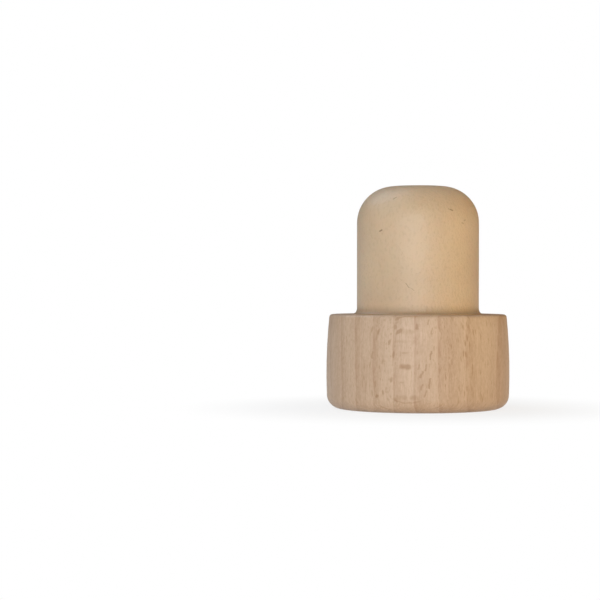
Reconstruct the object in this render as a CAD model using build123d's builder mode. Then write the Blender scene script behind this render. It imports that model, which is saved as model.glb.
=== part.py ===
from build123d import *
import os
from math import atan2, cos, degrees, radians, sin

# A bottle stopper that stands on the flat end of its wooden cap, shank up.
# Millimetres, +Z up, origin at the centre of the cap's flat end.

# Turned wooden cap
cap_diameter = 30.0        # widest, at the belly of the barrel-shaped side
cap_height = 15.6
belly_height = 5.8         # height of the widest place above the flat end
rim_diameter = 29.0        # at the face that meets the bottle
end_edge_radius = 2.1      # rounding round the flat end
rim_chamfer = 0.3

# Moulded shank that plugs the bottle
shank_diameter = 20.0
shank_length = 20.8        # from the cap's rim face to the flat of the nose
nose_radius = 5.0          # rounding between the side and the flat of the nose
root_flare = 0.5           # spread of the shank's foot where it meets the cap
root_flare_height = 0.9
root_lip = 0.15            # thickness of the flare's edge

# Spigot under the shank, glued into a drilled socket in the cap
spigot_diameter = 12.0
spigot_length = 7.0
groove_width = 2.0         # ring groove half way along, filled with glue
groove_depth = 0.35
glue_gap = 0.1             # all round the spigot
glue_well = 0.5            # between the spigot's end and the socket's floor
socket_chamfer = 0.35

# Wheat ears engraved in the flat end, placed by angle and by distance in from
# the end's flat edge
ear_count = 2
ear_foot_angle = 174.4
ear_foot_inset = 2.45
ear_middle_angle = 141.0
ear_middle_inset = 1.85
ear_tip_angle = 102.5
ear_tip_inset = 1.5
engraving_depth = 0.3

# Kernels in pairs along each ear, with their sizes at its foot and at its tip
kernel_pitch = 1.18
foot_kernel_length = 2.25
tip_kernel_length = 1.4
foot_kernel_width = 0.7
tip_kernel_width = 0.44
foot_kernel_gap = 0.1      # from the ear's centre line to a kernel's foot
tip_kernel_gap = 0.2
kernel_fullness = 0.6      # share of the width on the side away from the ear
kernel_hip = 0.25          # shares of the length between which a kernel is full
kernel_shoulder = 0.6
kernel_taper = 0.85        # share of the width left at the shoulder
outer_foot_splay = 34.0
outer_tip_splay = 6.0
inner_foot_splay = 47.0
inner_tip_splay = 17.0

# Stem under each ear
stem_gap = 0.2
stem_length = 4.0
stem_top_width = 0.16
stem_foot_width = 0.3
stem_lean = 5.0            # degrees off the ear's own direction

# Hair-like awns past the tips of the last kernels; angles are degrees off the
# kernel's direction, away from the ear for the side and inwards for the turn
awned_pairs = 3
awn_gap = 0.4
outer_awn_side = 3.0
inner_awn_side = 32.0
outer_awn_turn = 25.0
inner_awn_turn = 8.0
awn_length = 1.95
awn_width = 0.1
awn_depth = 0.12

cap_radius = cap_diameter / 2
rim_radius = rim_diameter / 2
shank_radius = shank_diameter / 2
spigot_radius = spigot_diameter / 2
socket_radius = spigot_radius + glue_gap
socket_depth = spigot_length + glue_well


def on_end_face(angle, inset):
    """Point of the end face at an angle and at a distance in from its flat edge."""
    reach = end_flat_radius - inset
    return Vector(reach * cos(radians(angle)), reach * sin(radians(angle)))


def unit(heading):
    """Direction in the drawing plane."""
    return Vector(cos(radians(heading)), sin(radians(heading)))


def heading_of(direction):
    """Angle of a direction in the drawing plane."""
    return degrees(atan2(direction.Y, direction.X))


def blend(at_foot, at_tip, share):
    """Size at a share of the way from an ear's foot to its tip."""
    return at_foot + (at_tip - at_foot) * share


def kernel(foot, heading, length, left_width, right_width):
    """Grain cut with straight sides, full from hip to shoulder and sharp at its tip."""
    along = unit(heading) * length
    left = unit(heading + 90) * left_width
    right = unit(heading - 90) * right_width
    hip = foot + along * kernel_hip
    shoulder = foot + along * kernel_shoulder
    with BuildSketch() as outline:
        with BuildLine():
            Polyline(
                foot,
                hip + right,
                shoulder + right * kernel_taper,
                foot + along,
                shoulder + left * kernel_taper,
                hip + left,
                close=True,
            )
        make_face()
    return outline.sketch


def stroke(start, heading, length, start_width, end_width):
    """Straight line that changes from one width to another."""
    along = unit(heading) * length
    left = unit(heading + 90)
    with BuildSketch() as outline:
        with BuildLine():
            Polyline(
                start - left * start_width / 2,
                start + along - left * end_width / 2,
                start + along + left * end_width / 2,
                start + left * start_width / 2,
                close=True,
            )
        make_face()
    return outline.sketch


# The side is one arc, highest at the belly
side_fall = cap_radius - rim_radius
cap_foot_radius = cap_radius - side_fall * (belly_height / (cap_height - belly_height)) ** 2
with BuildPart() as cap:
    with BuildSketch(Plane.XZ) as cap_section:
        with BuildLine():
            Line((0, 0), (cap_foot_radius, 0))
            ThreePointArc((cap_foot_radius, 0), (cap_radius, belly_height), (rim_radius, cap_height))
            Polyline((rim_radius, cap_height), (0, cap_height), (0, 0))
        make_face()
        end_corner = cap_section.vertices().sort_by_distance((cap_foot_radius, 0))[0]
        fillet(end_corner, radius=end_edge_radius)
        rim_corner = cap_section.vertices().sort_by_distance((rim_radius, cap_height))[0]
        chamfer(rim_corner, length=rim_chamfer)
        end_flat_radius = cap_section.edges().filter_by(Axis.X).sort_by(Axis.Y)[0].length
    revolve(axis=Axis.Z)

    # Drilled socket
    with Locations((0, 0, cap_height)):
        Hole(radius=socket_radius, depth=socket_depth)
    socket_mouth = cap.faces().filter_by(Plane.XY).sort_by(Axis.Z)[-1].inner_wires()[0].edges()
    chamfer(socket_mouth, length=socket_chamfer)

# One ear, drawn on the end face as it is seen, with the growth rings level
with BuildLine():
    ear_line = ThreePointArc(
        on_end_face(ear_foot_angle, ear_foot_inset),
        on_end_face(ear_middle_angle, ear_middle_inset),
        on_end_face(ear_tip_angle, ear_tip_inset),
    )
pair_count = round(ear_line.length / kernel_pitch) + 1


def kernel_pair(share):
    """Foot and heading of the outer and of the inner kernel of a pair, and their length."""
    along = heading_of(ear_line % share)
    step = unit(along + 90) * blend(foot_kernel_gap, tip_kernel_gap, share)
    outer_heading = along + blend(outer_foot_splay, outer_tip_splay, share**3)
    inner_heading = along - blend(inner_foot_splay, inner_tip_splay, share**2)
    length = blend(foot_kernel_length, tip_kernel_length, share)
    return ear_line @ share + step, outer_heading, ear_line @ share - step, inner_heading, length


with BuildSketch() as ear:
    for pair in range(pair_count):
        share = pair / (pair_count - 1)
        outer_foot, outer_heading, inner_foot, inner_heading, length = kernel_pair(share)
        width = blend(foot_kernel_width, tip_kernel_width, share)
        full_width = width * kernel_fullness
        add(kernel(outer_foot, outer_heading, length, full_width, width - full_width))
        add(kernel(inner_foot, inner_heading, length, width - full_width, full_width))
    ear_heading = heading_of(ear_line % 0)
    stem_start = ear_line @ 0 - unit(ear_heading) * stem_gap
    stem_heading = ear_heading + 180 + stem_lean
    add(stroke(stem_start, stem_heading, stem_length, stem_top_width, stem_foot_width))

with BuildSketch() as awns:
    for pair in range(pair_count - awned_pairs, pair_count):
        share = pair / (pair_count - 1)
        outer_foot, outer_heading, inner_foot, inner_heading, length = kernel_pair(share)
        outer_tip = outer_foot + unit(outer_heading) * length
        inner_tip = inner_foot + unit(inner_heading) * length
        outer_start = outer_tip + unit(outer_heading + outer_awn_side) * awn_gap
        inner_start = inner_tip + unit(inner_heading - inner_awn_side) * awn_gap
        outer_turned = outer_heading - outer_awn_turn
        inner_turned = inner_heading - inner_awn_turn
        add(stroke(outer_start, outer_turned, awn_length, awn_width, awn_width))
        add(stroke(inner_start, inner_turned, awn_length, awn_width, awn_width))

with cap:
    end_plane = Plane(origin=(0, 0, 0), x_dir=(0, 1, 0), z_dir=(0, 0, -1))
    for drawing, depth in ((ear, engraving_depth), (awns, awn_depth)):
        with BuildSketch(end_plane):
            with PolarLocations(0, ear_count):
                add(drawing.sketch)
        extrude(amount=-depth, mode=Mode.SUBTRACT)
cap.part.label = "cap"

# Shank, nose up, moulded in one piece with the spigot
shank_plane = Plane(origin=(0, 0, cap_height), x_dir=(1, 0, 0), z_dir=(0, -1, 0))
groove_radius = spigot_radius - groove_depth
groove_top = (groove_width - spigot_length) / 2
groove_foot = groove_top - groove_width
shank_foot_radius = shank_radius + root_flare
with BuildPart() as shank:
    with BuildSketch(shank_plane) as shank_section:
        with BuildLine():
            Polyline(
                (0, shank_length),
                (0, -spigot_length),
                (spigot_radius, -spigot_length),
                (spigot_radius, groove_foot),
                (groove_radius, groove_foot),
                (groove_radius, groove_top),
                (spigot_radius, groove_top),
                (spigot_radius, 0),
                (shank_foot_radius, 0),
                (shank_foot_radius, root_lip),
                (shank_radius, root_lip + root_flare_height),
                (shank_radius, shank_length),
                close=True,
            )
        make_face()
        nose_corner = shank_section.vertices().sort_by_distance((shank_radius, shank_length))[0]
        fillet(nose_corner, radius=nose_radius)
    revolve(axis=Axis.Z)
shank.part.label = "shank"

os.makedirs("parts", exist_ok=True)
for piece in (cap.part, shank.part):
    export_step(piece, f"parts/{piece.label}.step")
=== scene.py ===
"""Bottle stopper with a turned beech cap and a moulded synthetic cork shank.

It stands on the flat end of its cap, shank up. Metres, +Z up, origin at the
centre of the cap's flat end, growth rings square to X and grain along Z.
"""
from math import atan2, cos, e, pi, radians, sin

import bmesh
import bpy
from bpy.props import FloatProperty, IntProperty, PointerProperty, StringProperty
from mathutils import Euler, Matrix, Vector


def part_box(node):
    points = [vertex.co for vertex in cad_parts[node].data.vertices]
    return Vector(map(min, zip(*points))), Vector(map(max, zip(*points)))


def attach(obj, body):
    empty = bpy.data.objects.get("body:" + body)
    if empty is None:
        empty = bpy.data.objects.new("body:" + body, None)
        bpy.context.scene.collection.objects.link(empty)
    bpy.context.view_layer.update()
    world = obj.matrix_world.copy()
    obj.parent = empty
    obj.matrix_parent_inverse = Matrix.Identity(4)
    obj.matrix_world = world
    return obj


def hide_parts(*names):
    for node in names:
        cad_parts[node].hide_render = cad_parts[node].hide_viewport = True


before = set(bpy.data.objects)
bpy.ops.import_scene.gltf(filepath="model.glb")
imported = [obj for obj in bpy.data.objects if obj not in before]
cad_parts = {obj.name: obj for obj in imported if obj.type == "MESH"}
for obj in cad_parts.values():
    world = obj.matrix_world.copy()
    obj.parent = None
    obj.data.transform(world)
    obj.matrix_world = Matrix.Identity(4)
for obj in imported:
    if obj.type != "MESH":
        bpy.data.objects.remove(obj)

bl_info = {
    "name": "Bottle Stopper",
    "version": (1, 0, 0),
    "blender": (4, 5, 0),
    "location": "3D View > Sidebar > Stopper",
    "description": "Builds a wooden bottle stopper over its CAD model, with a plain studio",
    "category": "Object",
}

MM = 0.001
MERGE = 0.001 * MM
NEAR = 0.01 * MM
SHARP_ANGLE = radians(30.0)
TURN_STEPS = 240
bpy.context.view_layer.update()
CAP_LOW, CAP_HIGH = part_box("cap")
SHANK_LOW, SHANK_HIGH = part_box("shank")


# Sizes and colours


class CapSizes(bpy.types.PropertyGroup):
    """Sizes of the turned wooden cap."""

    diameter: FloatProperty(
        name="Diameter", description="Widest place, at the belly of the side",
        default=CAP_HIGH.x - CAP_LOW.x, unit="LENGTH",
    )
    height: FloatProperty(
        name="Height", description="From the flat end to the rim face",
        default=15.42 * MM, unit="LENGTH",
    )
    belly_height: FloatProperty(
        name="Belly height", description="Height of the widest place",
        default=5.8 * MM, unit="LENGTH",
    )
    rim_diameter: FloatProperty(
        name="Rim diameter", description="Width of the face round the shank",
        default=29.0 * MM, unit="LENGTH",
    )
    end_rounding: FloatProperty(
        name="End rounding", description="Radius round the flat end",
        default=2.1 * MM, unit="LENGTH",
    )
    rim_rounding: FloatProperty(
        name="Rim rounding", description="Radius round the rim face",
        default=0.45 * MM, unit="LENGTH",
    )
    socket_diameter: FloatProperty(
        name="Socket diameter", description="Drilled hole that takes the spigot",
        default=12.2 * MM, unit="LENGTH",
    )
    socket_depth: FloatProperty(
        name="Socket depth", description="Depth of the drilled hole",
        default=7.5 * MM, unit="LENGTH",
    )
    socket_chamfer: FloatProperty(
        name="Socket chamfer", description="Bevel round the mouth of the hole",
        default=0.35 * MM, unit="LENGTH",
    )


class ShankSizes(bpy.types.PropertyGroup):
    """Sizes of the moulded shank."""

    diameter: FloatProperty(
        name="Diameter", description="Width of the part that plugs the bottle",
        default=20.0 * MM, unit="LENGTH",
    )
    nose_rounding: FloatProperty(
        name="Nose rounding", description="Radius between the side and the top",
        default=6.0 * MM, unit="LENGTH",
    )
    root_flare: FloatProperty(
        name="Root flare", description="Spread of the foot where it meets the cap",
        default=0.5 * MM, unit="LENGTH",
    )
    root_flare_height: FloatProperty(
        name="Root flare height", description="Height of the spread foot",
        default=0.9 * MM, unit="LENGTH",
    )
    root_lip: FloatProperty(
        name="Root lip", description="Thickness of the flare's edge",
        default=0.15 * MM, unit="LENGTH",
    )
    spigot_diameter: FloatProperty(
        name="Spigot diameter", description="Width of the part that is glued into the cap",
        default=12.0 * MM, unit="LENGTH",
    )
    groove_width: FloatProperty(
        name="Groove width", description="Ring groove half way along the spigot",
        default=2.0 * MM, unit="LENGTH",
    )
    groove_depth: FloatProperty(
        name="Groove depth", description="Depth of the ring groove",
        default=0.35 * MM, unit="LENGTH",
    )


class EarSizes(bpy.types.PropertyGroup):
    """Sizes of the wheat ears engraved in the flat end."""

    count: IntProperty(name="Ears", description="Ears round the end", default=2, min=1)
    foot_angle: FloatProperty(
        name="Foot angle", description="Where an ear starts", default=radians(174.4), subtype="ANGLE",
    )
    middle_angle: FloatProperty(
        name="Middle angle", description="Where its middle is", default=radians(141.0), subtype="ANGLE",
    )
    tip_angle: FloatProperty(
        name="Tip angle", description="Where it ends", default=radians(102.5), subtype="ANGLE",
    )
    foot_inset: FloatProperty(
        name="Foot inset", description="From the flat's edge", default=2.45 * MM, unit="LENGTH",
    )
    middle_inset: FloatProperty(
        name="Middle inset", description="From the flat's edge", default=1.85 * MM, unit="LENGTH",
    )
    tip_inset: FloatProperty(
        name="Tip inset", description="From the flat's edge", default=1.5 * MM, unit="LENGTH",
    )
    kernel_pitch: FloatProperty(
        name="Kernel pitch", description="Between pairs of kernels", default=1.18 * MM, unit="LENGTH",
    )
    foot_length: FloatProperty(
        name="Foot kernel length", description="Length of the lowest kernels",
        default=2.25 * MM, unit="LENGTH",
    )
    tip_length: FloatProperty(
        name="Tip kernel length", description="Length of the last kernels",
        default=1.4 * MM, unit="LENGTH",
    )
    foot_width: FloatProperty(
        name="Foot kernel width", description="Width of the lowest kernels",
        default=0.86 * MM, unit="LENGTH",
    )
    tip_width: FloatProperty(
        name="Tip kernel width", description="Width of the last kernels",
        default=0.52 * MM, unit="LENGTH",
    )
    depth: FloatProperty(
        name="Engraving depth", description="Depth of the kernels", default=0.3 * MM, unit="LENGTH",
    )


class Colours(bpy.types.PropertyGroup):
    """Colours as sRGB hex values."""

    beech_pale: StringProperty(name="Beech, pale", description="Paler grain", default="#D1B497")
    beech_dark: StringProperty(name="Beech, dark", description="Darker grain", default="#B99778")
    beech_ray: StringProperty(name="Beech, ray", description="Ray flecks", default="#A27A52")
    beech_gleam: StringProperty(name="Beech, gleam", description="Palest fibres", default="#E3CBB0")
    beech_late: StringProperty(name="Beech, late", description="End of a growth ring", default="#AD7F60")
    burnt: StringProperty(name="Burnt wood", description="Engraved marks", default="#3E2817")
    cork: StringProperty(name="Synthetic cork", description="Moulded skin", default="#D6BA98")
    # Dark colour of marks and nicks, also used for the painted shade at the shank's seat on the cap
    mark: StringProperty(name="Mark", description="Dirt in small nicks", default="#7A5A3A")
    floor: StringProperty(name="Floor", description="Pale floor", default="#F2F1EF")
    floor_fibre: StringProperty(name="Floor, fibre", description="Paper's fibres", default="#DADADA")


# Shared helpers


def linear(hex_colour):
    """sRGB hex value as linear red, green, blue and alpha."""
    shares = [int(hex_colour[place:place + 2], 16) / 255 for place in (1, 3, 5)]
    return (*[x / 12.92 if x <= 0.04045 else ((x + 0.055) / 1.055) ** 2.4 for x in shares], 1.0)


def node(tree, kind, settings=None, inputs=None):
    """Adds a node, sets its properties, and sets or links the inputs that it then has.

    An input goes by name or by place, and a node in it stands for its first output.
    """
    made = tree.nodes.new(kind)
    for name, value in (settings or {}).items():
        setattr(made, name, value)
    sockets = [socket for socket in made.inputs if socket.enabled]
    for key, value in (inputs or {}).items():
        socket = sockets[key] if isinstance(key, int) else made.inputs[key]
        if isinstance(value, bpy.types.Node):
            value = next(output for output in value.outputs if output.enabled)
        if isinstance(value, bpy.types.NodeSocket):
            tree.links.new(value, socket)
        else:
            socket.default_value = value
    return made


def new_material(name):
    """Empty node material and its tree."""
    material = bpy.data.materials.new(name)
    material.use_nodes = True
    material.node_tree.nodes.clear()
    return material, material.node_tree


def smooth(mesh):
    """Shades a mesh smooth, with its corners sharp."""
    mesh.polygons.foreach_set("use_smooth", [True] * len(mesh.polygons))
    mesh.set_sharp_from_angle(angle=SHARP_ANGLE)


def add_object(name, mesh_maker, materials):
    """Turns a bmesh into an object at the origin."""
    bmesh.ops.remove_doubles(mesh_maker, verts=mesh_maker.verts, dist=MERGE)
    bmesh.ops.recalc_face_normals(mesh_maker, faces=mesh_maker.faces)
    mesh = bpy.data.meshes.new(name)
    mesh_maker.to_mesh(mesh)
    mesh_maker.free()
    smooth(mesh)
    for material in materials:
        mesh.materials.append(material)
    piece = bpy.data.objects.new(name, mesh)
    bpy.context.collection.objects.link(piece)
    return piece


def turned(profile):
    """Closed solid of revolution about Z from (radius, height) points on the axis at both ends."""
    solid = bmesh.new()
    rim = [solid.verts.new((radius, 0, height)) for radius, height in profile]
    line = [solid.edges.new(pair) for pair in zip(rim, rim[1:])]
    bmesh.ops.spin(
        solid, geom=rim + line, cent=(0, 0, 0), axis=(0, 0, 1), dvec=(0, 0, 0),
        angle=2 * pi, steps=TURN_STEPS, use_merge=True, use_duplicate=False,
    )
    bmesh.ops.remove_doubles(solid, verts=solid.verts, dist=MERGE)
    return solid


def round_off(solid, radius, height, amount, segments):
    """Bevels the circular edge at a radius and height."""
    edges = [
        edge for edge in solid.edges
        if all(abs(vert.co.z - height) < NEAR and abs(vert.co.xy.length - radius) < NEAR
               for vert in edge.verts)
    ]
    bmesh.ops.bevel(
        solid, geom=edges, offset=amount, offset_type="OFFSET", affect="EDGES",
        segments=segments, profile=0.5, material=-1, clamp_overlap=True,
    )


# Wooden cap


SIDE_ROWS, END_SEGMENTS, RIM_SEGMENTS, CHAMFER_SEGMENTS = 6, 12, 4, 1

# Place of the burnt wood among the cap's materials
BURNT = 1


def barrel_radius(sizes, height):
    """Radius of the cap's side, one arc that is widest at the belly."""
    fall = (sizes.diameter - sizes.rim_diameter) / 2
    share = (height - sizes.belly_height) / (sizes.height - sizes.belly_height)
    return sizes.diameter / 2 - fall * share ** 2


def turn_cap(sizes):
    """Cap with its rounded edges and drilled socket."""
    socket = sizes.socket_diameter / 2
    floor = sizes.height - sizes.socket_depth
    side = [sizes.height * row / SIDE_ROWS for row in range(SIDE_ROWS + 1)]
    foot = barrel_radius(sizes, 0)
    inner_flat = foot - 2 * sizes.end_rounding
    profile = [(0, 0), (inner_flat, 0)]
    profile += [(barrel_radius(sizes, height), height) for height in side]
    profile += [(socket, sizes.height), (socket, floor), (0, floor)]
    cap = turned(profile)
    round_off(cap, foot, 0, sizes.end_rounding, END_SEGMENTS)
    round_off(cap, barrel_radius(sizes, sizes.height), sizes.height, sizes.rim_rounding, RIM_SEGMENTS)
    round_off(cap, socket, sizes.height, sizes.socket_chamfer, CHAMFER_SEGMENTS)
    return cap


def arc_through(first, second, third):
    """Centre of the circle through three points of a plane."""
    a, b = second - first, third - first
    cross = 2 * (a.x * b.y - a.y * b.x)
    across = Vector((b.y * a.length_squared - a.y * b.length_squared,
                     a.x * b.length_squared - b.x * a.length_squared))
    return first + across / cross


def heading(angle):
    """Direction in a plane."""
    return Vector((cos(angle), sin(angle)))


# A kernel is a circle drawn out: how fast it narrows to its tip, how much it swells to make up
# for that, and the share of its width on its fuller side
KERNEL_TAPER, KERNEL_SWELL, KERNEL_FULLNESS = 0.4, 1.25, 0.6
KERNEL_SEGMENTS, STROKE_SEGMENTS = 20, 12


def kernel_cutter(cutters, foot, angle, length, width, fuller_side, depth):
    """Drop-shaped block, round at its foot and sharp at its tip, fuller on one side."""
    ring = bmesh.ops.create_circle(cutters, cap_ends=True, segments=KERNEL_SEGMENTS, radius=1)["verts"]
    for vert in ring:
        along = (vert.co.x + 1) / 2
        taper = (1 - along) ** KERNEL_TAPER * KERNEL_SWELL
        share = KERNEL_FULLNESS if vert.co.y * fuller_side > 0 else 1 - KERNEL_FULLNESS
        vert.co = Vector((along * length, vert.co.y * taper * share * width, 0))
    place_cutter(cutters, ring, foot, angle, depth)


def stroke_cutter(cutters, start, angle, length, widths, depth):
    """Thin tapered block."""
    ring = bmesh.ops.create_circle(cutters, cap_ends=True, segments=STROKE_SEGMENTS, radius=1)["verts"]
    for vert in ring:
        along = (vert.co.x + 1) / 2
        vert.co = Vector((along * length, vert.co.y * blend(widths, along) / 2, 0))
    place_cutter(cutters, ring, start, angle, depth)


def place_cutter(cutters, ring, start, angle, depth):
    """Moves a flat outline into place on the end face and makes it a block that deep."""
    turn = Matrix.Translation((start.x, start.y, 0)) @ Matrix.Rotation(angle, 4, "Z")
    bmesh.ops.transform(cutters, matrix=turn, verts=ring)
    overshoot = 0.1 * MM
    bmesh.ops.translate(cutters, vec=(0, 0, -overshoot), verts=ring)
    faces = list({face for vert in ring for face in vert.link_faces})
    raised = bmesh.ops.extrude_face_region(cutters, geom=faces)["geom"]
    top = [part for part in raised if isinstance(part, bmesh.types.BMVert)]
    bmesh.ops.translate(cutters, vec=(0, 0, depth + overshoot), verts=top)


def blend(ends, share):
    """Value at a share of the way from the first end to the second."""
    return ends[0] + (ends[1] - ends[0]) * share


# Kernels on the outer and inner side of an ear: side, share of the width, angle off the ear's line
# at the ear's foot and tip, power that delays the change, and how far an awn starts and turns
# off its kernel
KERNEL_SIDES = (
    (1, 1.0, (radians(34.0), radians(6.0)), 3, radians(3.0), radians(-25.0)),
    (-1, 0.82, (radians(47.0), radians(17.0)), 2, radians(32.0), radians(8.0)),
)
KERNEL_GAP = (0.1 * MM, 0.2 * MM)
AWNED_PAIRS = 3
AWN_GAP, AWN_LENGTH, AWN_WIDTH, AWN_DEPTH = 0.4 * MM, 2.6 * MM, 0.1 * MM, 0.12 * MM
STEM_GAP, STEM_LENGTH, STEM_LEAN = 0.2 * MM, 4.0 * MM, radians(5.0)
STEM_WIDTH = (0.2 * MM, 0.36 * MM)

# Turns the drawing of the end, which has the growth rings level, to the piece's own axes
SWAP_X_AND_Y = Matrix(((0, 1, 0, 0), (1, 0, 0, 0), (0, 0, 1, 0), (0, 0, 0, 1)))


def ear_cutters(ear, flat_radius):
    """Blocks that cut the ears out of the flat end."""
    cutters = bmesh.new()
    foot = heading(ear.foot_angle) * (flat_radius - ear.foot_inset)
    middle = heading(ear.middle_angle) * (flat_radius - ear.middle_inset)
    tip = heading(ear.tip_angle) * (flat_radius - ear.tip_inset)
    centre = arc_through(foot, middle, tip)
    radius = (foot - centre).length
    start = atan2(foot.y - centre.y, foot.x - centre.x)
    sweep = atan2(tip.y - centre.y, tip.x - centre.x) - start
    if sweep > 0:
        sweep -= 2 * pi
    pairs = round(abs(sweep) * radius / ear.kernel_pitch) + 1
    for pair in range(pairs):
        share = pair / (pairs - 1)
        around = start + sweep * share
        place = centre + heading(around) * radius
        along = around - pi / 2
        length = blend((ear.foot_length, ear.tip_length), share)
        width = blend((ear.foot_width, ear.tip_width), share)
        for side, fullness, splay, delay, awn_side, awn_turn in KERNEL_SIDES:
            angle = along + side * blend(splay, share ** delay)
            start_of_kernel = place + heading(along + side * pi / 2) * blend(KERNEL_GAP, share)
            kernel_cutter(cutters, start_of_kernel, angle, length, width * fullness, side, ear.depth)
            if pair >= pairs - AWNED_PAIRS:
                start_of_awn = (start_of_kernel + heading(angle) * length
                                + heading(angle + side * awn_side) * AWN_GAP)
                stroke_cutter(cutters, start_of_awn, angle + side * awn_turn, AWN_LENGTH,
                              (AWN_WIDTH, AWN_WIDTH), AWN_DEPTH)
    along = start - pi / 2
    stroke_cutter(cutters, foot - heading(along) * STEM_GAP, along + pi + STEM_LEAN, STEM_LENGTH,
                  STEM_WIDTH, ear.depth)
    bmesh.ops.transform(cutters, matrix=SWAP_X_AND_Y, verts=cutters.verts)
    first_ear = cutters.verts[:] + cutters.edges[:] + cutters.faces[:]
    for copy in range(1, ear.count):
        made = bmesh.ops.duplicate(cutters, geom=first_ear)
        verts = [part for part in made["geom"] if isinstance(part, bmesh.types.BMVert)]
        turn = Matrix.Rotation(2 * pi * copy / ear.count, 3, "Z")
        bmesh.ops.rotate(cutters, cent=(0, 0, 0), verts=verts, matrix=turn)
    return cutters


def cut_away(piece, cutters):
    """Subtracts the cutters' mesh from a piece for good."""
    tool = add_object("engraving_tool", cutters, [])
    step = piece.modifiers.new("Engraving", "BOOLEAN")
    step.object = tool
    step.operation = "DIFFERENCE"
    step.solver = "EXACT"
    step.use_self = True
    bpy.context.view_layer.update()
    seen = piece.evaluated_get(bpy.context.evaluated_depsgraph_get())
    cut = bpy.data.meshes.new_from_object(seen)
    smooth(cut)
    piece.modifiers.clear()
    piece.data = cut
    bpy.data.objects.remove(tool)


class STOPPER_OT_cap(bpy.types.Operator):
    """Turns the wooden cap, drills its socket and engraves its end"""

    bl_idname = "stopper.cap"
    bl_label = "Wooden cap"

    def execute(self, context):
        sizes, ear = context.scene.stopper_cap, context.scene.stopper_ear
        colours = context.scene.stopper_colours
        piece = add_object("beech_cap", turn_cap(sizes), [beech(colours), burnt_beech(colours)])
        flat_radius = barrel_radius(sizes, 0) - sizes.end_rounding
        cut_away(piece, ear_cutters(ear, flat_radius))
        for face in piece.data.polygons:
            sunk = NEAR < face.center.z < ear.depth + NEAR
            if sunk and face.center.xy.length < flat_radius:
                face.material_index = BURNT
        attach(piece, "root")
        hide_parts("cap")
        return {"FINISHED"}


# Synthetic cork shank


FLARE_STEPS, NOSE_SEGMENTS = 6, 24


def mould_shank(sizes, bottom, seat, top):
    """Shank with its flared root and rounded nose, and the grooved spigot under it."""
    radius = sizes.diameter / 2
    spigot = sizes.spigot_diameter / 2
    groove = spigot - sizes.groove_depth
    groove_foot = (bottom + seat - sizes.groove_width) / 2
    groove_top = groove_foot + sizes.groove_width
    profile = [
        (0, bottom), (spigot, bottom),
        (spigot, groove_foot), (groove, groove_foot),
        (groove, groove_top), (spigot, groove_top),
        (spigot, seat), (radius + sizes.root_flare, seat),
        (radius + sizes.root_flare, seat + sizes.root_lip),
    ]
    for step in range(1, FLARE_STEPS + 1):
        turn = step / FLARE_STEPS * pi / 2
        spread = sizes.root_flare * (1 - sin(turn))
        rise = sizes.root_flare_height * (1 - cos(turn))
        profile.append((radius + spread, seat + sizes.root_lip + rise))
    inner_flat = (radius - sizes.nose_rounding) / 2
    profile += [(radius, top), (inner_flat, top), (0, top)]
    shank = turned(profile)
    round_off(shank, radius, top, sizes.nose_rounding, NOSE_SEGMENTS)
    return shank


class STOPPER_OT_shank(bpy.types.Operator):
    """Moulds the synthetic cork shank with its spigot"""

    bl_idname = "stopper.shank"
    bl_label = "Synthetic cork shank"

    def execute(self, context):
        scene = context.scene
        seat = scene.stopper_cap.height
        solid = mould_shank(scene.stopper_shank, SHANK_LOW.z, seat, SHANK_HIGH.z)
        piece = add_object("cork_shank", solid, [synthetic_cork(scene.stopper_colours, seat)])
        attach(piece, "root")
        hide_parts("shank")
        return {"FINISHED"}


# Materials


MATHS, VECTOR, RANGE, MIX = "ShaderNodeMath", "ShaderNodeVectorMath", "ShaderNodeMapRange", "ShaderNodeMix"
NOISE, CELLS, MAPPING = "ShaderNodeTexNoise", "ShaderNodeTexVoronoi", "ShaderNodeMapping"
SMOOTH, COLOUR = {"interpolation_type": "SMOOTHSTEP"}, {"data_type": "RGBA"}
IN_MM = (1 / MM, 1 / MM, 1 / MM)

# A stroke fades in from the first to the second of these shares of its half width, and all
# strokes from the first to the second of these places along Y, so that only the front has them
MARK_EDGE = (1.7, 0.3)
MARKED_FRONT = (-4.0, -7.0)


def patterns(tree, place, table):
    """Noises by name, each with its features per millimetre along X, Y and Z, detail and roughness."""
    made = {}
    for name, per_mm, detail, roughness in table:
        stretched = node(tree, VECTOR, {"operation": "MULTIPLY"}, {0: place, 1: per_mm})
        made[name] = node(tree, NOISE, {}, {
            "Vector": stretched, "Scale": 1.0, "Detail": detail, "Roughness": roughness,
        })
    return made


def swayed(tree, place, per_mm, reach):
    """Place that a noise, so many per millimetre along each axis, moves by up to about a quarter
    of the reach, in millimetres."""
    stretched = node(tree, VECTOR, {"operation": "MULTIPLY"}, {0: place, 1: per_mm})
    sway = node(tree, NOISE, {}, {"Vector": stretched, "Scale": 1.0, "Detail": 2.0})
    colour = sway.outputs["Color"]
    centred = node(tree, VECTOR, {"operation": "SUBTRACT"}, {0: colour, 1: (0.5, 0.5, 0.5)})
    return node(tree, VECTOR, {"operation": "MULTIPLY_ADD"}, {0: centred, 1: reach, 2: place})


def layered(tree, colour, layers):
    """Colour with others laid over it, each by a value, the range that brings it in and its most share."""
    for value, low, high, most, over in layers:
        share = node(tree, RANGE, SMOOTH, {
            "Value": value, "From Min": low, "From Max": high, "To Max": most,
        })
        colour = node(tree, MIX, COLOUR, {0: share, 1: colour, 2: over})
    return colour


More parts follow.
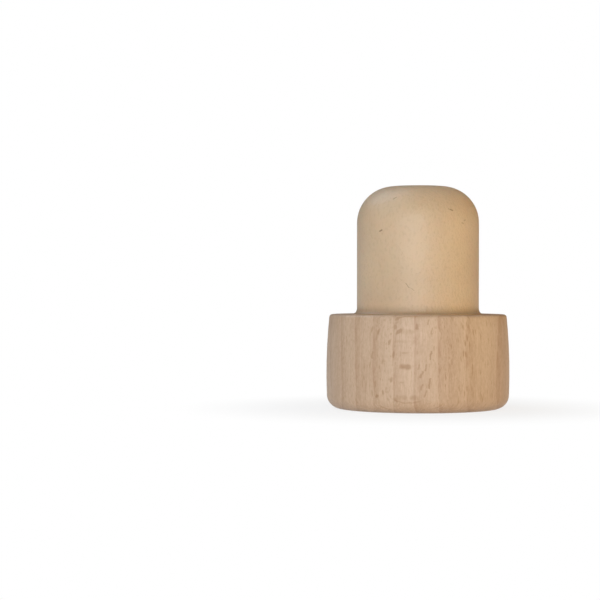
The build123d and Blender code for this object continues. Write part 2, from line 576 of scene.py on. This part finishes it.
def front_marks(tree, place, strokes):
    """Strength of short strokes on the front, each from one place across and up to another, in
    millimetres, with its half width and its strength."""
    flat = node(tree, VECTOR, {"operation": "MULTIPLY"}, {0: place, 1: (1, 0, 1)})
    strongest = 0.0
    for start, end, half_width, strength in strokes:
        run = Vector((end[0] - start[0], 0, end[1] - start[1]))
        away = node(tree, VECTOR, {"operation": "SUBTRACT"}, {0: flat, 1: (start[0], 0, start[1])})
        along = node(tree, VECTOR, {"operation": "DOT_PRODUCT"}, {0: away, 1: run / run.length_squared})
        share = node(tree, "ShaderNodeClamp", {}, {0: along})
        short = node(tree, VECTOR, {"operation": "MULTIPLY_ADD"}, {0: share, 1: -run, 2: away})
        reach = node(tree, VECTOR, {"operation": "LENGTH"}, {0: short})
        shape = node(tree, RANGE, SMOOTH, {
            "Value": reach, "From Min": half_width * MARK_EDGE[0], "From Max": half_width * MARK_EDGE[1],
            "To Max": strength,
        })
        strongest = node(tree, MATHS, {"operation": "MAXIMUM"}, {0: strongest, 1: shape})
    depth = node(tree, "ShaderNodeSeparateXYZ", {}, {0: place}).outputs["Y"]
    front = node(tree, RANGE, SMOOTH, {
        "Value": depth, "From Min": MARKED_FRONT[0], "From Max": MARKED_FRONT[1],
    })
    return node(tree, MATHS, {"operation": "MULTIPLY"}, {0: strongest, 1: front})


# Width in millimetres of the ring in the cap's middle, how much wider the rings get with each
# millimetre towards the heart, and the count in the middle, which sets where their lines fall
RING_WIDTH, RING_WIDENING, MIDDLE_COUNT = 3.55, 0.085, 99.66

# Shares of a ring between which it has no late wood
LATE_UNTIL, LATE_FROM = 0.2, 0.97


def growth_rings(tree, across):
    """How far through its ring a place is, and the late wood beside the line where rings meet.

    The heart is on the +X side, and the rings get wider towards it, from about 2.3 mm to 4.8 mm.
    """
    step = RING_WIDENING / RING_WIDTH
    spread = node(tree, MATHS, {"operation": "MULTIPLY_ADD"}, {0: across, 1: step, 2: 1.0})
    growth = node(tree, MATHS, {"operation": "LOGARITHM"}, {0: spread, 1: e})
    count = node(tree, MATHS, {"operation": "MULTIPLY_ADD"}, {
        0: growth, 1: 1 / RING_WIDENING, 2: MIDDLE_COUNT,
    })
    ring = node(tree, MATHS, {"operation": "FRACT"}, {0: count})
    fade = node(tree, RANGE, SMOOTH, {"Value": ring, "From Min": LATE_UNTIL, "From Max": 0.0})
    edge = node(tree, RANGE, SMOOTH, {"Value": ring, "From Min": LATE_FROM, "From Max": 1.0})
    late = node(tree, MATHS, {"operation": "MAXIMUM"}, {0: fade, 1: edge})
    return ring, late


# Flecks and dashes of the cap's front, as front_marks takes them
FLECKS = (
    ((-0.75, 7.45), (0.35, 7.4), 0.42, 0.6),
    ((-1.85, 13.55), (-1.8, 13.75), 0.3, 0.5),
    ((1.6, 13.45), (1.62, 13.95), 0.25, 0.6),
    ((-1.1, 12.95), (0.7, 12.9), 0.42, 0.3),
    ((-1.5, 11.4), (1.2, 11.35), 0.27, 0.27),
    ((-1.2, 9.25), (0.8, 9.2), 0.3, 0.16),
    ((-1.3, 2.65), (-0.2, 2.6), 0.4, 0.36),
    ((0.8, 2.6), (1.3, 2.65), 0.38, 0.42),
    ((-1.9, 2.15), (-0.6, 1.8), 0.1, 0.4),
    ((-0.6, 1.8), (0.9, 1.8), 0.1, 0.4),
    ((0.9, 1.8), (2.1, 2.1), 0.1, 0.4),
    ((3.65, 8.65), (3.85, 9.85), 0.15, 0.55),
    ((2.2, 5.8), (2.55, 6.6), 0.17, 0.55),
    ((1.9, 7.1), (2.0, 7.7), 0.13, 0.45),
    ((2.9, 6.9), (3.1, 7.8), 0.15, 0.5),
    ((2.3, 3.9), (2.45, 4.6), 0.14, 0.5),
    ((3.45, 4.1), (3.7, 5.5), 0.16, 0.55),
    ((2.85, 2.85), (3.1, 3.7), 0.16, 0.5),
    ((3.3, 14.1), (3.45, 14.8), 0.14, 0.5),
    ((3.8, 12.5), (3.95, 13.5), 0.12, 0.45),
    ((-4.85, 2.6), (-4.75, 2.8), 0.2, 0.6),
    ((-5.6, 8.8), (-5.5, 9.6), 0.2, 0.45),
)

# The rays' plane is turned this far off the front
RAY_TURN = radians(6.7)

# Sways of the grain, long and short, and of the flecks' edges, as swayed takes them
LONG_SWAY = ((0.10, 0.10, 0.05), (1.4, 0.8, 0.0))
SHORT_SWAY = ((0.7, 0.7, 0.22), (0.4, 0.3, 0.0))
FLECK_SWAY = ((1.6, 1.6, 1.6), (0.5, 0.0, 0.4))

# Cells per millimetre along, across and up of the large rays and of the small, and their shift
RAY_CELLS = ((0.08, 4.2, 0.46), (0.12, 6.0, 1.1))
RAY_SHIFT = (3.1, 0.0, 0.0)

# Distances from a cell's middle at which a ray ends and is full, and the values of the cell's
# chance at which a ray starts to show and is full
RAY_BODY = (0.34, 0.16)
RAY_CHANCE = (0.35, 0.9)

# Share of the darker colour where every pattern is at its middle
MIDDLE_TONE = 0.42


def beech(colours):
    """Beech, turned, sanded and left matt: warm and even, with soft growth rings, and rays
    that show as broad flecks where the side lies along them and as dashes where it cuts them."""
    material, tree = new_material("turned_beech")
    at = node(tree, "ShaderNodeTexCoord").outputs["Object"]
    straight = node(tree, MAPPING, {}, {"Vector": at, "Scale": IN_MM, "Rotation": (0, 0, RAY_TURN)})
    place = swayed(tree, straight, *LONG_SWAY)
    place = swayed(tree, place, *SHORT_SWAY)
    ragged = swayed(tree, straight, *FLECK_SWAY)
    across = node(tree, "ShaderNodeSeparateXYZ", {}, {0: place}).outputs["X"]
    ring, late = growth_rings(tree, across)

    # Real fibres and pores are under 0.1 mm wide, too fine to show, so the fibres are drawn 0.2 mm
    # apart and the pores 0.14 mm, with streaks and bands of them and specks between
    grain = patterns(tree, place, (
        ("fibre", (5.0, 5.0, 0.22), 3.0, 0.65),
        ("streak", (1.7, 1.7, 0.10), 3.0, 0.6),
        ("band", (0.35, 0.3, 0.02), 2.0, 0.5),
        ("speck", (3.2, 3.2, 1.6), 2.0, 0.55),
        ("pore", (7.0, 7.0, 1.0), 2.0, 0.6),
        ("fade", (0.5, 0.5, 0.22), 2.0, 0.55),
    ))
    tone_shares = (
        (ring, -0.36), (grain["band"], 1.1), (grain["fibre"], 1.7),
        (grain["streak"], 1.3), (grain["speck"], 1.0),
    )
    tone = MIDDLE_TONE - sum(share for _, share in tone_shares) / 2
    for value, share in tone_shares:
        tone = node(tree, MATHS, {"operation": "MULTIPLY_ADD"}, {0: value, 1: share, 2: tone})

    # Rays are ribbons: long from the heart outwards, about 0.2 mm thick and 1 to 2 mm high
    rays = []
    for per_mm in RAY_CELLS:
        cells = node(tree, VECTOR, {"operation": "MULTIPLY_ADD"}, {0: place, 1: per_mm, 2: RAY_SHIFT})
        ray = node(tree, CELLS, {"feature": "F1"}, {"Vector": cells, "Scale": 1.0})
        chance = node(tree, "ShaderNodeSeparateColor", {}, {0: ray.outputs["Color"]}).outputs[0]
        body = node(tree, RANGE, SMOOTH, {"Value": ray, "From Min": RAY_BODY[0], "From Max": RAY_BODY[1]})
        kept = node(tree, RANGE, {}, {
            "Value": chance, "From Min": RAY_CHANCE[0], "From Max": RAY_CHANCE[1],
        })
        rays.append(node(tree, MATHS, {"operation": "MULTIPLY"}, {0: body, 1: kept}))

    # Late wood fades in and out along a ring's line
    faded = node(tree, RANGE, SMOOTH, {
        "Value": grain["fade"], "From Min": 0.40, "From Max": 0.60, "To Min": 0.1,
    })
    late = node(tree, MATHS, {"operation": "MULTIPLY"}, {0: late, 1: faded})

    pale, dark = linear(colours.beech_pale), linear(colours.beech_dark)
    ray_colour, late_colour = linear(colours.beech_ray), linear(colours.beech_late)
    gleam = linear(colours.beech_gleam)
    colour = node(tree, MIX, COLOUR, {0: tone, 1: pale, 2: dark})
    colour = layered(tree, colour, (
        (late, 0.0, 1.0, 0.33, late_colour),
        (grain["streak"], 0.5, 0.75, 0.35, gleam),
        (grain["fibre"], 0.54, 0.74, 0.3, gleam),
        (grain["pore"], 0.58, 0.74, 0.48, ray_colour),
        (rays[1], 0.0, 1.0, 0.3, ray_colour),
        (rays[0], 0.0, 1.0, 0.55, ray_colour),
        (front_marks(tree, ragged, FLECKS), 0.0, 1.0, 1.0, ray_colour),
    ))

    height = node(tree, MATHS, {"operation": "MULTIPLY_ADD"}, {
        0: grain["pore"], 1: -0.5, 2: grain["fibre"],
    })
    bump = node(tree, "ShaderNodeBump", {}, {"Strength": 0.3, "Distance": 0.04 * MM, "Height": height})
    shader = node(tree, "ShaderNodeBsdfPrincipled", {}, {
        "Base Color": colour, "Roughness": 0.5, "IOR": 1.5, "Normal": bump,
    })
    node(tree, "ShaderNodeOutputMaterial", {}, {"Surface": shader})
    return material


def burnt_beech(colours):
    """Beech burnt by the engraving tool: dark brown and dull, with paler specks where it burnt less."""
    material, tree = new_material("burnt_beech")
    at = node(tree, "ShaderNodeTexCoord").outputs["Object"]
    place = node(tree, MAPPING, {}, {"Vector": at, "Scale": IN_MM})
    grain = patterns(tree, place, (("char", (3.0, 3.0, 3.0), 3.0, 0.6),))
    colour = layered(tree, linear(colours.burnt), (
        (grain["char"], 0.35, 0.8, 0.5, linear(colours.mark)),
    ))
    shader = node(tree, "ShaderNodeBsdfPrincipled", {}, {
        "Base Color": colour, "Roughness": 0.8, "IOR": 1.45,
    })
    node(tree, "ShaderNodeOutputMaterial", {}, {"Surface": shader})
    return material


# Millimetres above the cap over which painted shade darkens the skin, most at the seat
SEAT_SHADE_HEIGHT = 1.8
NICK_SWAY = ((3.0, 3.0, 3.0), (0.25, 0.0, 0.25))

# Hair scratch and small nicks on the shank's front, as front_marks takes them
NICKS = (
    ((-2.75, 21.1), (-1.9, 20.5), 0.05, 0.2),
    ((-1.9, 20.5), (-1.4, 19.85), 0.055, 0.5),
    ((-1.4, 19.85), (-0.95, 19.65), 0.05, 0.4),
    ((-0.95, 19.65), (-0.55, 19.3), 0.05, 0.5),
    ((-0.3, 22.0), (0.4, 22.2), 0.05, 0.25),
    ((-6.1, 28.85), (-5.75, 29.05), 0.11, 0.6),
    ((4.9, 32.4), (5.2, 32.3), 0.09, 0.4),
    ((5.2, 32.3), (5.5, 32.15), 0.12, 0.6),
    ((7.1, 30.2), (7.3, 30.1), 0.12, 0.4),
    ((7.45, 30.6), (7.55, 30.7), 0.12, 0.4),
    ((-3.9, 34.0), (-3.4, 34.3), 0.08, 0.45),
)


def synthetic_cork(colours, seat):
    """Foamed elastomer with a moulded skin: soft and matt, with tiny upright wrinkles and a
    few nicks that hold dirt, and painted shade that darkens it towards its seat on the cap."""
    material, tree = new_material("moulded_synthetic_cork")
    at = node(tree, "ShaderNodeTexCoord").outputs["Object"]
    place = node(tree, MAPPING, {}, {"Vector": at, "Scale": IN_MM})
    foot = seat / MM

    # Wrinkles are 0.4 mm wide, and the skin's finer grain is drawn 0.17 mm wide so that it shows
    skin = patterns(tree, place, (
        ("cloud", (0.12, 0.12, 0.10), 2.0, 0.5),
        ("wrinkle", (2.6, 2.6, 1.5), 3.0, 0.6),
        ("grain", (6.0, 6.0, 4.0), 2.0, 0.5),
    ))
    height_up = node(tree, "ShaderNodeSeparateXYZ", {}, {0: place}).outputs["Z"]
    mark = linear(colours.mark)
    nicks = front_marks(tree, swayed(tree, place, *NICK_SWAY), NICKS)
    colour = layered(tree, linear(colours.cork), (
        (skin["cloud"], 0.4, 0.75, 0.10, mark),
        (skin["wrinkle"], 0.48, 0.72, 0.11, mark),
        # Painted shade: the skin darkens towards its seat on the cap
        (height_up, foot + SEAT_SHADE_HEIGHT, foot, 0.5, mark),
        (nicks, 0.0, 1.0, 1.0, mark),
    ))
    height = node(tree, MATHS, {"operation": "MULTIPLY_ADD"}, {
        0: skin["grain"], 1: 0.25, 2: skin["wrinkle"],
    })
    bump = node(tree, "ShaderNodeBump", {}, {"Strength": 1.0, "Distance": 0.11 * MM, "Height": height})
    shader = node(tree, "ShaderNodeBsdfPrincipled", {}, {
        "Base Color": colour, "Roughness": 0.38, "IOR": 1.45, "Normal": bump,
        "Subsurface Weight": 0.15, "Subsurface Scale": 0.4 * MM,
    })
    node(tree, "ShaderNodeOutputMaterial", {}, {"Surface": shader})
    return material


# The camera sees the floor as part paper and part plain white under the object, and as plain
# white only further out: the white's share under the object, and the distances in millimetres
# between which it rises
NEAR_WHITE, PAPER_REACH, WHITE_REACH = 0.8, 14.0, 42.0


def white_paper(colours):
    """Matt white paper: even, with a trace of its fibres, and plain white away from the object."""
    material, tree = new_material("white_paper")
    at = node(tree, "ShaderNodeTexCoord").outputs["Object"]
    place = node(tree, MAPPING, {}, {"Vector": at, "Scale": IN_MM})

    # Single fibres are too fine to show, so they are drawn as clouds 2 mm wide
    grain = patterns(tree, place, (("fibres", (0.5, 0.5, 0.5), 2.0, 0.5),))
    paper = layered(tree, linear(colours.floor), (
        (grain["fibres"], 0.0, 1.0, 0.03, linear(colours.floor_fibre)),
    ))
    matt = node(tree, "ShaderNodeBsdfDiffuse", {}, {"Color": paper})
    white = node(tree, "ShaderNodeEmission", {}, {"Strength": 1.0})
    reach = node(tree, VECTOR, {"operation": "LENGTH"}, {0: place})
    share = node(tree, RANGE, SMOOTH, {
        "Value": reach, "From Min": PAPER_REACH, "From Max": WHITE_REACH, "To Min": NEAR_WHITE,
    })
    seen = node(tree, "ShaderNodeLightPath").outputs
    plain = seen["Is Camera Ray"]
    for ray in ("Is Glossy Ray", "Is Transmission Ray"):
        plain = node(tree, MATHS, {"operation": "MAXIMUM"}, {0: plain, 1: seen[ray]})
    share = node(tree, MATHS, {"operation": "MULTIPLY"}, {0: share, 1: plain})
    both = node(tree, "ShaderNodeMixShader", {}, {0: share, 1: matt, 2: white})
    node(tree, "ShaderNodeOutputMaterial", {}, {"Surface": both})
    return material


# Floor, light and camera


# Colours of the lamps, linear: warm from the right and cool from the upper left, as the object
# is lit in the photograph
WHITE, WARM, PALE_WARM = (1.0, 1.0, 1.0), (1.0, 0.62, 0.10), (1.0, 0.74, 0.38)
COOL, SKY_BLUE = (0.79, 0.88, 1.0), (0.40, 0.64, 1.0)

# Lamps: place and size in metres, watts, colour and whether they show in reflections
LAMPS = {
    "front_lamp": ((-0.06, -0.55, 0.10), 0.30, 2.16, WHITE, True),
    "side_lamp": ((0.50, -0.12, 0.12), 0.30, 0.76, WARM, True),
    "back_lamp": ((0.40, 0.30, 0.15), 0.30, 0.36, PALE_WARM, False),
    "window_lamp": ((-0.33, 0.20, 0.50), 0.40, 1.20, COOL, True),
    "sky_lamp": ((-0.36, -0.30, 0.34), 0.30, 0.27, SKY_BLUE, True),
    "rear_lamp": ((0.0, 0.55, 0.06), 0.30, 0.95, WHITE, False),
}
LAMP_AIM = Vector((0, 0, 18 * MM))
SOFT_LIGHT = 0.15

# Camera, as fitted to the object's outline in the photograph
CAMERA_PLACE = Vector((0.12, -304.0, 20.62)) * MM
CAMERA_PITCH, CAMERA_YAW, CAMERA_ROLL = radians(90.0 - 0.544), radians(3.674), radians(0.05)
LENS, SENSOR_WIDTH = 110.73, 36.0


def add_lamps():
    """Square area lamps that point at the middle of the object."""
    for name, (place, size, watts, colour, mirrored) in LAMPS.items():
        lamp = bpy.data.lights.new(name, "AREA")
        lamp.size = size
        lamp.energy = watts
        lamp.color = colour
        holder = bpy.data.objects.new(name, lamp)
        holder.location = place
        holder.rotation_euler = (LAMP_AIM - Vector(place)).to_track_quat("-Z", "Y").to_euler()
        holder.visible_glossy = mirrored
        bpy.context.collection.objects.link(holder)


def light_world():
    """Soft even light from all round, which the camera sees as plain white."""
    world = bpy.data.worlds.new("studio")
    bpy.context.scene.world = world
    world.use_nodes = True
    tree = world.node_tree
    tree.nodes.clear()
    seen = node(tree, "ShaderNodeLightPath").outputs
    soft = node(tree, "ShaderNodeBackground", {}, {"Color": (1, 1, 1, 1), "Strength": SOFT_LIGHT})
    white = node(tree, "ShaderNodeBackground", {}, {"Color": (1, 1, 1, 1), "Strength": 1.0})
    plain = node(tree, MATHS, {"operation": "MAXIMUM"}, {
        0: seen["Is Camera Ray"], 1: seen["Is Transmission Ray"],
    })
    both = node(tree, "ShaderNodeMixShader", {}, {0: plain, 1: soft, 2: white})
    node(tree, "ShaderNodeOutputWorld", {}, {"Surface": both})


def place_camera():
    """Camera at the photograph's place, about 300 mm off and a little over half way up."""
    lens = bpy.data.cameras.new("camera")
    lens.sensor_width = SENSOR_WIDTH
    lens.lens = LENS
    lens.clip_start = 0.01
    lens.clip_end = 10.0
    camera = bpy.data.objects.new("camera", lens)
    camera.location = CAMERA_PLACE
    aim = Euler((CAMERA_PITCH, 0, CAMERA_YAW)).to_matrix() @ Matrix.Rotation(CAMERA_ROLL, 3, "Z")
    camera.rotation_euler = aim.to_euler()
    bpy.context.collection.objects.link(camera)
    bpy.context.scene.camera = camera


FLOOR_HALF_WIDTH = 3.0


class STOPPER_OT_stage(bpy.types.Operator):
    """Adds the floor, the lamps, the soft light from all round and the camera"""

    bl_idname = "stopper.stage"
    bl_label = "Studio"

    def execute(self, context):
        sheet = bmesh.new()
        bmesh.ops.create_grid(sheet, x_segments=1, y_segments=1, size=FLOOR_HALF_WIDTH)
        floor = add_object("floor", sheet, [white_paper(context.scene.stopper_colours)])
        add_lamps()
        light_world()
        place_camera()
        context.scene.view_settings.view_transform = "Standard"
        return {"FINISHED"}


# Add-on


class STOPPER_PT_panel(bpy.types.Panel):
    """Lists the sizes, the colours and the steps."""

    bl_idname = "STOPPER_PT_panel"
    bl_label = "Bottle stopper"
    bl_space_type = "VIEW_3D"
    bl_region_type = "UI"
    bl_category = "Stopper"

    def draw(self, context):
        scene, layout = context.scene, self.layout
        for group in (scene.stopper_cap, scene.stopper_shank, scene.stopper_ear, scene.stopper_colours):
            box = layout.box()
            for name in group.__annotations__:
                box.prop(group, name)
        for step in STEPS:
            layout.operator(step.bl_idname)


GROUPS = {
    "stopper_cap": CapSizes,
    "stopper_shank": ShankSizes,
    "stopper_ear": EarSizes,
    "stopper_colours": Colours,
}
STEPS = (STOPPER_OT_cap, STOPPER_OT_shank, STOPPER_OT_stage)


def register():
    for group in (*GROUPS.values(), *STEPS, STOPPER_PT_panel):
        bpy.utils.register_class(group)
    for name, group in GROUPS.items():
        setattr(bpy.types.Scene, name, PointerProperty(type=group))


def unregister():
    for name in GROUPS:
        delattr(bpy.types.Scene, name)
    for group in (STOPPER_PT_panel, *reversed(STEPS), *reversed(GROUPS.values())):
        bpy.utils.unregister_class(group)


def main():
    register()
    bpy.ops.stopper.cap()
    bpy.ops.stopper.shank()
    bpy.ops.stopper.stage()


if __name__ == "__main__":
    main()
